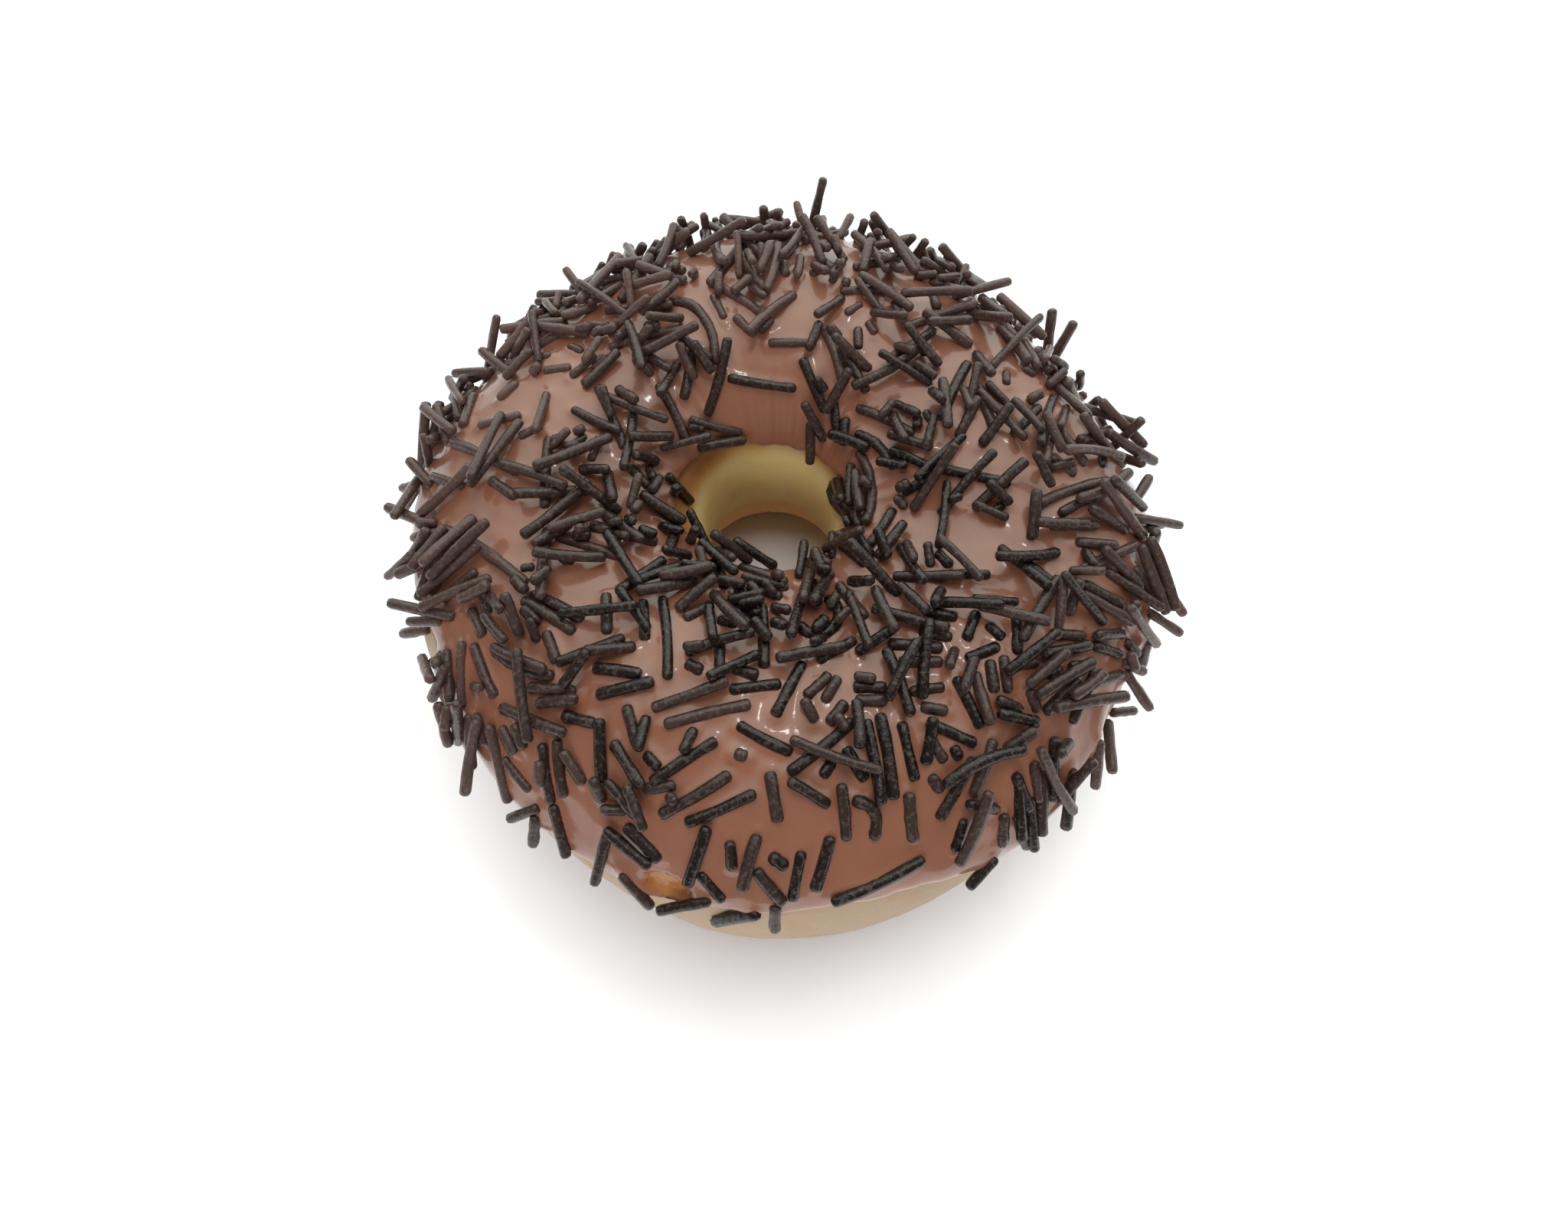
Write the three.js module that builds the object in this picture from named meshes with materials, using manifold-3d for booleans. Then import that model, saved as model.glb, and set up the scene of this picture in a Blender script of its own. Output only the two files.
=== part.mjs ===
// Ring doughnut: a plump fried dough ring, dipped in milk chocolate icing and
// rolled in dark chocolate sprinkles. Millimetres, +Z up. The origin is on the
// surface that the doughnut stands on, at the middle of the ring.
//
// Two closed solids: the dough ring, whose underside is flat, and the icing,
// a thick skin over its top and sides with the sprinkles fused to it.

import * as THREE from "three";
import { mergeVertices } from "three/addons/utils/BufferGeometryUtils.js";
import Module from "manifold-3d";

const wasm = await Module();
wasm.setup();

const { cos, sin, abs, sign, sqrt, exp, PI } = Math;
const RAD = PI / 180;
const TURN = 2 * PI;

// Dough ring
const WIDEST_RADIUS = 42.4; // outside, at the widest height
const HOLE_RADIUS = 7.6; // at the waist of the hole
const HOLE_PLACE = [-1.7, 0.7]; // the hole lies a little to the left and back
const WIDEST_HEIGHT = 16; // height of the widest line and of the hole's waist
const DOUGH_HEIGHT = 31.4;
const BASE_DEPTH = 3; // how much of the round underside is pressed flat
const BASE_CORNER = 1.2; // blend between the flat underside and the side
const FULLNESS = 2.25; // 2 is an ellipse, more is squarer
// Each wave: how many lobes, how high in mm, and the direction of one crest in degrees
const OUTLINE_WAVES = [
  [2, 0.7, -81],
  [3, 0.4, -43],
  [4, 0.6, -7],
];
// Broad bulges in front, to the left and to the right: direction, half width and size
const BULGES = [
  [-86, 42, 3],
  [-165, 35, 2],
  [-8, 22, 1.4],
];
const TOP_WAVES = [
  [2, 0.35, 60],
  [3, 0.45, 10],
  [5, 0.3, 97],
];

// Icing
const GAP = 0.3; // between the icing's back and the dough
const ICING = 0.9; // thickness
const LIP = 1.2; // the edge rounds off over this width
const BEAD = 0.3; // extra thickness where the icing ran down and set
const BEAD_PLACE = 2.4; // middle of that bead, from the lower edge
const BEAD_WIDTH = 1.6;
const OUTER_EDGE = -3; // lower edge outside: degrees round the section from the widest line
const OUTER_EDGE_WAVES = [
  [5, 4, 20],
  [9, 2.5, 50],
];
// Where the dough shows below the icing: direction, half width and rise of the edge, in degrees
const BARE_PLACES = [
  [-163, 28, 42],
  [-88, 34, 36],
  [-34, 18, 38],
  [-8, 12, 32],
  [48, 20, 12],
  [140, 16, 14],
];
const HOLE_EDGE = 148; // edge in the hole, the same way
const HOLE_EDGE_WAVES = [
  [1, 3.7, 35],
  [2, 4.2, 80],
];

// Sprinkles
const SPRINKLES = 165;
const SPRINKLE_RADIUS = 0.7;
const LONGEST = 10;
const SHORTEST = 5.6;
const SIDES = 5;
const PRESSED_IN = 0.36; // how far one lies sunk in the icing
const MOST_ASLANT = 3; // degrees, of those that lie flat
// Places with fewer: direction and section angle, half widths of both, and the share left out
const THIN_PLACES = [
  [-95, 22, 48, 24, 0.75],
  [95, 128, 28, 24, 0.92],
];
const STANDING_SHARE = 0.1; // those that stand up on one end
const STANDING_TILT = [15, 38]; // degrees
const REACH = 47.4; // none goes further from the middle than this
const HOLE_CLEAR = 8.4; // or nearer to the hole's axis
const LOWEST = 6; // or lower
const SEED = 2037;

// Facets
const AROUND = 54;
const DOUGH_ROWS = 24;
const ICING_ROWS = 12; // on its outside
const BACK_ROWS = 10; // its back follows the dough's own rows, from the widest line up
const BACK_EASE = 0.6; // degrees between the rows that would fall below the lower edge

const waves = (list, theta) =>
  list.reduce((sum, [lobes, size, crest]) => sum + size * cos(lobes * (theta - crest * RAD)), 0);

const power = (x, p) => sign(x) * abs(x) ** p;

// Height with everything under the floor pressed flat, and a soft corner
function pressed(z) {
  if (z <= -BASE_CORNER) return 0;
  return z >= BASE_CORNER ? z : (z + BASE_CORNER) ** 2 / (4 * BASE_CORNER);
}

// 1 at a direction in degrees, falling off to nothing past its half width
function near(angle, direction, halfWidth) {
  const away = (((angle / RAD - direction + 180) % 360) + 360) % 360 - 180;
  return exp(-((away / halfWidth) ** 2));
}

// A point of the dough: theta goes round the ring, phi round its section.
// phi is 0 outside, 90 on top, 180 in the hole and -90 below, in degrees.
function doughPoint(theta, phi) {
  let outside = WIDEST_RADIUS + waves(OUTLINE_WAVES, theta);
  for (const [direction, reach, size] of BULGES) outside += size * near(theta, direction, reach);
  const inside = HOLE_RADIUS + HOLE_PLACE[0] * cos(theta) + HOLE_PLACE[1] * sin(theta);
  const middle = (outside + inside) / 2;
  const halfWidth = (outside - inside) / 2;
  const up = sin(phi) > 0;
  const halfHeight = up
    ? DOUGH_HEIGHT - WIDEST_HEIGHT + waves(TOP_WAVES, theta)
    : WIDEST_HEIGHT + BASE_DEPTH;
  const r = middle + halfWidth * power(cos(phi), 2 / FULLNESS);
  const z = WIDEST_HEIGHT + halfHeight * power(sin(phi), 2 / FULLNESS);
  return new THREE.Vector3(r * cos(theta), r * sin(theta), pressed(z));
}

function outward(theta, phi) {
  const step = 0.02;
  const alongRing = doughPoint(theta + step, phi).sub(doughPoint(theta - step, phi));
  const alongSection = doughPoint(theta, phi + step).sub(doughPoint(theta, phi - step));
  return alongRing.cross(alongSection).normalize();
}

function outerEdge(theta) {
  let edge = OUTER_EDGE + waves(OUTER_EDGE_WAVES, theta);
  for (const [direction, halfWidth, rise] of BARE_PLACES) edge += rise * near(theta, direction, halfWidth);
  return edge * RAD;
}

const holeEdge = (theta) => (HOLE_EDGE + waves(HOLE_EDGE_WAVES, theta)) * RAD;
const sectionRadius = (WIDEST_RADIUS - HOLE_RADIUS) / 2;

// Height of the icing over the dough at a place, rounding off to its back at both edges
function icingHeight(theta, phi) {
  const fromOuter = (phi - outerEdge(theta)) * sectionRadius;
  const fromHole = (holeEdge(theta) - phi) * sectionRadius;
  const share = Math.max(0, Math.min(1, fromOuter / LIP, fromHole / LIP));
  const bead = BEAD * exp(-(((fromOuter - BEAD_PLACE) / BEAD_WIDTH) ** 2));
  return GAP + (ICING + bead) * sqrt(1 - (1 - share) ** 2);
}

const icingPoint = (theta, phi, height = icingHeight(theta, phi)) =>
  doughPoint(theta, phi).addScaledVector(outward(theta, phi), height);

// A closed ring: section(theta) gives the same number of points all the way round
function ringSolid(section) {
  const rows = section(0).length;
  const positions = [];
  for (let i = 0; i < AROUND; i++) {
    for (const p of section((i / AROUND) * TURN)) positions.push(p.x, p.y, p.z);
  }
  const index = [];
  for (let i = 0; i < AROUND; i++) {
    for (let j = 0; j < rows; j++) {
      const [here, next] = [i * rows, ((i + 1) % AROUND) * rows];
      const above = (j + 1) % rows;
      index.push(here + j, next + j, next + above);
      index.push(here + j, next + above, here + above);
    }
  }
  const geometry = new THREE.BufferGeometry();
  geometry.setAttribute("position", new THREE.Float32BufferAttribute(positions, 3));
  geometry.setIndex(index);
  return solidOf(geometry);
}

function solidOf(geometry) {
  const bare = geometry.clone();
  bare.deleteAttribute("normal");
  bare.deleteAttribute("uv");
  const merged = mergeVertices(bare, 1e-4);
  const corners = merged.index.array;
  const kept = [];
  for (let i = 0; i < corners.length; i += 3) {
    const [a, b, c] = corners.slice(i, i + 3);
    if (a !== b && b !== c && c !== a) kept.push(a, b, c);
  }
  return new wasm.Manifold(
    new wasm.Mesh({
      numProp: 3,
      vertProperties: merged.attributes.position.array,
      triVerts: new Uint32Array(kept),
    }),
  );
}

function meshOf(solid, name, material) {
  const { vertProperties, triVerts } = solid.getMesh();
  const geometry = new THREE.BufferGeometry();
  geometry.setAttribute("position", new THREE.BufferAttribute(vertProperties, 3));
  geometry.setIndex(new THREE.BufferAttribute(triVerts, 1));
  geometry.computeVertexNormals();
  const mesh = new THREE.Mesh(geometry, material);
  mesh.name = name;
  return mesh;
}

function doughSection(theta) {
  const points = [];
  for (let j = 0; j < DOUGH_ROWS; j++) points.push(doughPoint(theta, (j / DOUGH_ROWS) * TURN));
  return points;
}

// Rows close together at both edges, where the icing rounds off
function icingSection(theta) {
  const [low, high] = [outerEdge(theta), holeEdge(theta)];
  const lip = LIP / sectionRadius;
  const points = [];
  for (let j = 0; j <= ICING_ROWS; j++) {
    let phi = low + lip + ((high - low - 2 * lip) * (j - 2)) / (ICING_ROWS - 4);
    if (j < 2) phi = low + lip * [0, 0.25][j];
    if (j > ICING_ROWS - 2) phi = high - lip * [0, 0.25][ICING_ROWS - j];
    points.push(icingPoint(theta, phi));
  }
  const row = TURN / DOUGH_ROWS;
  for (let j = BACK_ROWS - 1; j >= 0; j--) {
    const phi = Math.max(j * row, low + (j + 1) * BACK_EASE * RAD);
    points.push(icingPoint(theta, phi, GAP));
  }
  return points;
}

// The same numbers every time, from 0 to 1
function seededDraws(seed) {
  let state = seed;
  return () => {
    state = (Math.imul(state, 1664525) + 1013904223) >>> 0;
    return state / 4294967296;
  };
}

// How thickly a place is covered, from 0 to 1
function cover(theta, phi) {
  const left = ([direction, section, width, height, share]) =>
    1 - share * near(theta, direction, width) * near(phi, section, height);
  return THIN_PLACES.reduce((product, place) => product * left(place), 1);
}

function rod(length) {
  return solidOf(new THREE.CylinderGeometry(SPRINKLE_RADIUS, SPRINKLE_RADIUS, length, SIDES, 1));
}

// One sprinkle on the icing, or null where it would reach too far
function sprinkle(theta, phi, length, heading, tilt) {
  const up = outward(theta, phi);
  const ahead = doughPoint(theta + 0.02, phi).sub(doughPoint(theta - 0.02, phi)).normalize();
  const across = up.clone().cross(ahead);
  const flat = ahead.multiplyScalar(cos(heading)).addScaledVector(across, sin(heading));
  const axis = flat.multiplyScalar(cos(tilt)).addScaledVector(up, sin(tilt)).normalize();
  const side = axis.clone().cross(up).normalize();
  const half = axis.clone().multiplyScalar(length / 2);
  const underside = SPRINKLE_RADIUS * cos(PI / SIDES);
  const centre = icingPoint(theta, phi).addScaledVector(up, underside - PRESSED_IN);
  if (tilt > STANDING_TILT[0] * RAD) centre.add(half).addScaledVector(axis, -SPRINKLE_RADIUS);
  for (const end of [centre.clone().add(half), centre.clone().sub(half)]) {
    if (Math.hypot(end.x, end.y) > REACH || end.z < LOWEST) return null;
    if (Math.hypot(end.x - HOLE_PLACE[0], end.y - HOLE_PLACE[1]) < HOLE_CLEAR) return null;
  }
  const place = new THREE.Matrix4().makeBasis(side, axis, side.clone().cross(axis));
  return rod(length).transform(place.setPosition(centre).elements);
}

// Spread evenly by a low-discrepancy sequence, longest first
function sprinkles() {
  const draw = seededDraws(SEED);
  const made = [];
  for (let k = 1; made.length < SPRINKLES; k++) {
    const theta = ((0.5 + k * 0.7548776662) % 1) * TURN - PI;
    const share = (0.5 + k * 0.569840291) % 1;
    const [keep, grow, heading, lean, stand] = [draw(), draw(), draw(), draw(), draw()];
    const [low, high] = [outerEdge(theta), holeEdge(theta)];
    const phi = low + (high - low) * (0.04 + 0.93 * share);
    const place = doughPoint(theta, phi);
    const room = Math.hypot(place.x, place.y) / WIDEST_RADIUS;
    if (keep > room * cover(theta, phi)) continue;
    const nextToHole = room < 0.4;
    const length = LONGEST - (LONGEST - SHORTEST) * (0.7 * (made.length / SPRINKLES) + 0.3 * grow);
    const [least, most] = STANDING_TILT;
    const tilt = stand < STANDING_SHARE ? least + (most - least) * lean : MOST_ASLANT * lean;
    const one = sprinkle(theta, phi, nextToHole ? SHORTEST : length, heading * TURN, tilt * RAD);
    if (one) made.push(one);
  }
  return made;
}

const doughLook = new THREE.MeshStandardMaterial({ color: "#c99c5e", roughness: 0.7, metalness: 0 });
const icingLook = new THREE.MeshStandardMaterial({ color: "#8a5a45", roughness: 0.25, metalness: 0 });

const icingShell = ringSolid(icingSection);
const doughnut = new THREE.Group();
doughnut.add(meshOf(ringSolid(doughSection), "dough_ring", doughLook));
const joined = wasm.Manifold.union([icingShell, ...sprinkles()]);
doughnut.add(meshOf(joined, "icing", icingLook));

export default doughnut;
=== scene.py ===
"""A chocolate doughnut: fried dough ring, milk chocolate icing and dark chocolate sprinkles."""
import math

import bpy
import numpy as np
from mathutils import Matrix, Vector, kdtree, noise
from mathutils.bvhtree import BVHTree


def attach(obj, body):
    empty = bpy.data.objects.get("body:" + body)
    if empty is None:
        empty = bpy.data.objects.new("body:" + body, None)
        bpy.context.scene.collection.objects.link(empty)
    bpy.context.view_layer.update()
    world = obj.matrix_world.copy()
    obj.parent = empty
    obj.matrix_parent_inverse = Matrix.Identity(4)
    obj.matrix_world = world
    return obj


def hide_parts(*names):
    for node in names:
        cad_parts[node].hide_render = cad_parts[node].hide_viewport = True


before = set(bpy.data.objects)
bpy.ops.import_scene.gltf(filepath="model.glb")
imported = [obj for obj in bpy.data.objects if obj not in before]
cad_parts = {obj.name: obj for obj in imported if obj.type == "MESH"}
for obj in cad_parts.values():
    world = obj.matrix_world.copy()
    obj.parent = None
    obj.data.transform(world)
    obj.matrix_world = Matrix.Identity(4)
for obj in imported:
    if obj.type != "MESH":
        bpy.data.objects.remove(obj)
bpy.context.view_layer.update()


# Dough ring
# A plump ring of yeast dough, fried on one side and then the other while it floats, so a pale band
# is left round its sides and inside the hole, between two golden brown crusts. It cools on a flat
# tray, which presses the underside flat. All sizes are in mm until a mesh is made.
MM = 0.001
WIDEST_RADIUS = 42.4
HOLE_RADIUS = 7.6
HOLE_PLACE = (-1.7, 0.7)
WIDEST_HEIGHT = 16.0
DOUGH_HEIGHT = 31.4
BASE_DEPTH = 3.0
BASE_CORNER = 1.2
FULLNESS = 2.25
# Each wave: lobes, height, and the direction of one crest in degrees
OUTLINE_WAVES = [(2, 0.7, -81), (3, 0.4, -43), (4, 0.6, -7)]
TOP_WAVES = [(2, 0.35, 60), (3, 0.45, 10), (5, 0.3, 97)]
# Broad bulges in front, to the left and to the right: direction, half width and size
BULGES = [(-86, 42, 3.0), (-165, 35, 2.0), (-8, 22, 1.4)]
DOUGH_AROUND = 360
DOUGH_ROWS = 150
DOUGH_SWELL = 0.22  # broad unevenness of the crust
SWELL_GRAIN = 9.0
DOUGH_WRINKLE = 0.07  # fine wrinkles of the crust
WRINKLE_GRAIN = 1.6
WRINKLE_STRETCH = [1, 1, 1.8]  # they are lower than they are long
UNDERSIDE_RELIEF = 0.05
FLOOR_BLEND = (0.2, 2.5)  # the crust's relief turns into that of the underside between these heights
# The pale bands outside and in the hole: the middle of each in degrees round the section, and how
# far from there it starts to turn golden and how far it has done so
PALE_SIDE = 9
PALE_SIDE_FADE = (14, 32)
PALE_HOLE = 174
PALE_HOLE_FADE = (11, 27)
BAND_WANDER = 4  # how far their borders stray, in degrees
BAND_GRAIN = 7.0
HOLE_BEGINS = (149, 163)  # the hole wall's colours, painted lighter against the shade in the hole, fade in and out between these angles
HOLE_ENDS = (205, 245)
ANGLE_STEP = 0.02  # radians, between the points that a slope is taken from


def waves(shape, theta):
    return sum(size * np.cos(lobes * (theta - math.radians(crest))) for lobes, size, crest in shape)


def power(x, p):
    return np.sign(x) * np.abs(x) ** p


def near(angle, direction, half_width):
    """1 at a direction in degrees, falling off to nothing past its half width."""
    away = (np.degrees(angle) - direction + 180) % 360 - 180
    return np.exp(-((away / half_width) ** 2))


def dough_point(theta, phi):
    """theta goes round the ring; phi round its section: 0 outside, 90 on top, 180 in the hole."""
    outside = WIDEST_RADIUS + waves(OUTLINE_WAVES, theta)
    for direction, reach, size in BULGES:
        outside = outside + size * near(theta, direction, reach)
    inside = HOLE_RADIUS + HOLE_PLACE[0] * np.cos(theta) + HOLE_PLACE[1] * np.sin(theta)
    middle, half = (outside + inside) / 2, (outside - inside) / 2
    upper = DOUGH_HEIGHT - WIDEST_HEIGHT + waves(TOP_WAVES, theta)
    rise = np.where(np.sin(phi) > 0, upper, WIDEST_HEIGHT + BASE_DEPTH)
    r = middle + half * power(np.cos(phi), 2 / FULLNESS)
    z = WIDEST_HEIGHT + rise * power(np.sin(phi), 2 / FULLNESS)
    soft = (z + BASE_CORNER) ** 2 / (4 * BASE_CORNER)
    z = np.where(z <= -BASE_CORNER, 0, np.where(z >= BASE_CORNER, z, soft))
    return np.stack([r * np.cos(theta), r * np.sin(theta), z], axis=-1)


def along_ring(theta, phi):
    return dough_point(theta + ANGLE_STEP, phi) - dough_point(theta - ANGLE_STEP, phi)


def outward(theta, phi):
    along_section = dough_point(theta, phi + ANGLE_STEP) - dough_point(theta, phi - ANGLE_STEP)
    normal = np.cross(along_ring(theta, phi), along_section)
    return normal / np.linalg.norm(normal, axis=-1, keepdims=True)


def roughness_of(points, grain, seed, octaves=3):
    """Smooth noise at each point, about -1 to 1, with lumps of about the given size in mm."""
    shift = Vector((17.3 * seed, 5.1 * seed, 9.7 * seed))
    flat = points.reshape(-1, 3) / grain
    values = [noise.fractal(Vector(p) + shift, 1.0, 2.0, octaves) for p in flat]
    return np.array(values).reshape(points.shape[:-1])


def new_object(name, data):
    made = bpy.data.objects.new(name, data)
    bpy.context.scene.collection.objects.link(made)
    return made


def squares(around, rows, closed=True):
    """The corners of each square between points[round the ring][across it], as numbers of points."""
    i, j = np.meshgrid(np.arange(around), np.arange(rows if closed else rows - 1), indexing="ij")
    i2, j2 = (i + 1) % around, (j + 1) % rows
    corners = [i * rows + j, i2 * rows + j, i2 * rows + j2, i * rows + j2]
    return np.stack(corners, axis=-1).reshape(-1, 4)


def ring_mesh(name, points):
    """A closed ring from points[round the ring][round its section], in mm."""
    mesh = bpy.data.meshes.new(name)
    mesh.from_pydata((points.reshape(-1, 3) * MM).tolist(), [], squares(*points.shape[:2]).tolist())
    mesh.polygons.foreach_set("use_smooth", [True] * len(mesh.polygons))
    return new_object(name, mesh)


def store(piece, name, values):
    """Keeps one number for each point of a piece's mesh, for its material to read."""
    attribute = piece.data.attributes.new(name, "FLOAT", "POINT")
    attribute.data.foreach_set("value", np.asarray(values, dtype=np.float32).ravel())


def fade(x, low, high):
    """0 below low, 1 above high and smooth between them."""
    share = np.clip((x - low) / (high - low), 0, 1)
    return share * share * (3 - 2 * share)


def srgb(code):
    """An sRGB hex colour, as the linear RGBA that a shader takes."""
    channels = [int(code[i : i + 2], 16) / 255 for i in (1, 3, 5)]
    return [c / 12.92 if c <= 0.04045 else ((c + 0.055) / 1.055) ** 2.4 for c in channels] + [1.0]


def add(tree, kind, inputs=None, **settings):
    """Adds one node. inputs maps a socket to a value, or to the output that feeds it."""
    node = tree.nodes.new(kind)
    for key, value in settings.items():
        setattr(node, key, value)
    for socket, value in (inputs or {}).items():
        if isinstance(value, bpy.types.NodeSocket):
            tree.links.new(value, node.inputs[socket])
        else:
            node.inputs[socket].default_value = value
    return node


def new_material(name):
    material = bpy.data.materials.new(name)
    material.use_nodes = True
    material.node_tree.nodes.clear()
    return material, material.node_tree


def stored(tree, name):
    """The output that gives the number kept under this name for each point of the mesh."""
    return add(tree, "ShaderNodeAttribute", attribute_name=name).outputs["Fac"]


def mottle(tree, size, detail):
    """The output of a noise fixed to the object, with features of about this size in mm."""
    spot = add(tree, "ShaderNodeTexCoord").outputs["Object"]
    inputs = {"Vector": spot, "Scale": 1 / (size * MM), "Detail": detail}
    return add(tree, "ShaderNodeTexNoise", inputs).outputs["Fac"]


COLOUR_A, COLOUR_B, COLOUR_OUT = 6, 7, 2  # a Mix node's sockets for colours


def blend(tree, share, low, high):
    """The output of a colour that goes from low to high with a share from 0 to 1."""
    mix = add(tree, "ShaderNodeMix", {0: share, COLOUR_A: low, COLOUR_B: high}, data_type="RGBA")
    return mix.outputs[COLOUR_OUT]


def bump(tree, height, strength, depth, **under):
    """The output of a normal bent by a height, which spans a depth in mm."""
    inputs = {"Height": height, "Strength": strength, "Distance": depth * MM, **under}
    return add(tree, "ShaderNodeBump", inputs).outputs["Normal"]


def finish_surface(tree, inputs):
    shader = add(tree, "ShaderNodeBsdfPrincipled", inputs)
    add(tree, "ShaderNodeOutputMaterial", {"Surface": shader.outputs["BSDF"]})


theta, phi = np.meshgrid(
    np.arange(DOUGH_AROUND) / DOUGH_AROUND * 2 * math.pi,
    np.arange(DOUGH_ROWS) / DOUGH_ROWS * 2 * math.pi,
    indexing="ij",
)
place = dough_point(theta, phi)
swell = DOUGH_SWELL * roughness_of(place, SWELL_GRAIN, seed=1)
wrinkle = DOUGH_WRINKLE * roughness_of(place * WRINKLE_STRETCH, WRINKLE_GRAIN, seed=2)
on_floor = 1 - fade(place[..., 2], *FLOOR_BLEND)
relief = (swell + wrinkle) * (1 - on_floor) + UNDERSIDE_RELIEF * on_floor * (wrinkle / DOUGH_WRINKLE + 1)
points = place + relief[..., None] * outward(theta, phi)
points[..., 2] = np.maximum(points[..., 2], 0)
dough = ring_mesh("dough", points)

around_section = np.degrees(phi)
from_side = np.abs((around_section - PALE_SIDE + 180) % 360 - 180)
from_hole = np.abs(around_section - PALE_HOLE)
wander = BAND_WANDER * roughness_of(place, BAND_GRAIN, seed=3)
side_fry = fade(from_side + wander, *PALE_SIDE_FADE)
hole_fry = fade(from_hole + wander, *PALE_HOLE_FADE)
store(dough, "fried", np.minimum(side_fry, hole_fry))
# Where the hole's wall is: its colours are painted lighter there, against the shade in the hole
store(dough, "hole_painted_light", fade(around_section, *HOLE_BEGINS) * (1 - fade(around_section, *HOLE_ENDS)))

# Fried dough crust: matt, with a slight oily sheen, browner where the wrinkles stand out
crust, tree = new_material("fried_dough_crust")
blotch = mottle(tree, size=4, detail=4)
pores = mottle(tree, size=0.7, detail=3)
uneven = add(tree, "ShaderNodeMapRange", {
    "Value": blotch, "From Min": 0.3, "From Max": 0.7, "To Min": -0.16, "To Max": 0.16,
})
fry_inputs = {0: stored(tree, "fried"), 1: uneven.outputs["Result"]}
fry = add(tree, "ShaderNodeMath", fry_inputs, operation="ADD", use_clamp=True)
golden = add(tree, "ShaderNodeMapRange", {"Value": fry.outputs[0], "From Min": 0.05, "From Max": 0.6})
brown = add(tree, "ShaderNodeMapRange", {"Value": fry.outputs[0], "From Min": 0.45, "From Max": 1.05})
# Each colour as it is on the sides, darkened with painted shade, and in the hole, lightened with painted
# light against the shade there
hole_painted_light = stored(tree, "hole_painted_light")
pale = blend(tree, hole_painted_light, srgb("#a08a72"), srgb("#d4bc84"))
gold = blend(tree, hole_painted_light, srgb("#9a6b39"), srgb("#d6a85f"))
deepest = blend(tree, hole_painted_light, srgb("#8c5c33"), srgb("#e2ac6a"))
pale_to_gold = blend(tree, golden.outputs["Result"], pale, gold)
creases = bump(tree, blotch, strength=0.5, depth=0.35)
finish_surface(tree, {
    "Base Color": blend(tree, brown.outputs["Result"], pale_to_gold, deepest),
    "Roughness": 0.62, "IOR": 1.45, "Subsurface Weight": 0.12, "Subsurface Scale": 1.2 * MM,
    "Normal": bump(tree, pores, strength=0.5, depth=0.12, Normal=creases),
})
dough.data.materials.append(crust)
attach(dough, "root")
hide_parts("dough_ring")


# Icing
# Milk chocolate icing: the ring was dipped upside down in warm icing, turned up and left to set.
# It ran down the sides and stopped in a thin, wavy lip, with the pale dough showing below it.
ICING = 1.2  # thickness
LIP = 1.2  # the edge rounds off over this width
BEAD = 0.3
BEAD_PLACE = 2.4
BEAD_WIDTH = 1.6
OUTER_EDGE = -3.0
OUTER_EDGE_WAVES = [(5, 4, 20), (9, 2.5, 50)]
# Where the dough shows below the icing: direction, half width and rise of the edge, in degrees
BARE_PLACES = [
    (-163, 28, 42), (-88, 34, 36), (-34, 18, 38), (-8, 12, 32), (48, 20, 12), (140, 16, 14),
]
HOLE_EDGE = 148.0
HOLE_EDGE_WAVES = [(1, 3.7, 35), (2, 4.2, 80)]
HOLE_EDGE_RADIUS = HOLE_RADIUS + 3
EDGE_RIPPLE = 2.0  # small waves of both edges, in degrees
RIPPLE_GRAIN = 3.5
# Short bays and tongues of the outer edge: direction, half width and rise in degrees
BAYS = [(-108, 9, -6), (-66, 9, -3.5), (-47, 14, -16), (-30, 14, -9)]
HOLE_BAYS = [(110, 12, 2.5), (62, 14, -3)]
# The icing is so thin in one spot that the crust shows: direction, section angle, half widths of both
THIN_SPOT = (-104.6, 29.5, 3.2, 5.0)
THIN_SPOT_BORDER = (0.25, 0.5)  # it grows thin between these shares of its strength
THIN_SPOT_LOSS = 0.75  # share of the thickness that is missing
ICING_SWELL = 0.16
ICING_SWELL_GRAIN = 7.0
RUNS = 0.12  # faint ridges where the icing ran down into the hole
RUN_GRAIN = 3.6
RUN_CIRCLE = 30  # their noise is read on a circle of this radius,
RUN_DROP = 3  # and only this far on for each radian down, so they are long
RUNS_BEGIN = (95, 125)  # section angles
ICING_AROUND = 660
ICING_ROWS = 112
TIGHT_SHARE = 0.25  # how much closer the rows lie at both edges, where the lip curls under
ICING_BACK = 8
BACK_DEPTH = 0.15  # the edges of the back lie this far inside the dough's surface
MIDDLE_DEPTH = 3 * BACK_DEPTH
SECTION_RADIUS = (WIDEST_RADIUS - HOLE_RADIUS) / 2
GLAZE_WIDTH = 0.9  # the lip is thin enough to let the dough shine through over this width, and a painted sheen lightens the same strip
GLAZE_AND_SHEEN_PLACE = (-72, 20)  # most of all here, where the painted sheen on the lip is broadest: direction and half width
GLAZE_ELSEWHERE = 0.3


def outer_edge(theta):
    edge = OUTER_EDGE + waves(OUTER_EDGE_WAVES, theta)
    for direction, half_width, rise in BARE_PLACES:
        edge = edge + rise * near(theta, direction, half_width)
    return np.radians(edge)


def hole_edge(theta):
    return np.radians(HOLE_EDGE + waves(HOLE_EDGE_WAVES, theta))


def icing_height(theta, phi, low, high):
    from_outer = (phi - low) * SECTION_RADIUS
    from_hole = (high - phi) * SECTION_RADIUS
    share = np.clip(np.minimum(from_outer, from_hole) / LIP, 0, 1)
    bead = BEAD * np.exp(-(((from_outer - BEAD_PLACE) / BEAD_WIDTH) ** 2))
    return (ICING + bead) * np.sqrt(1 - (1 - share) ** 2)


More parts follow.
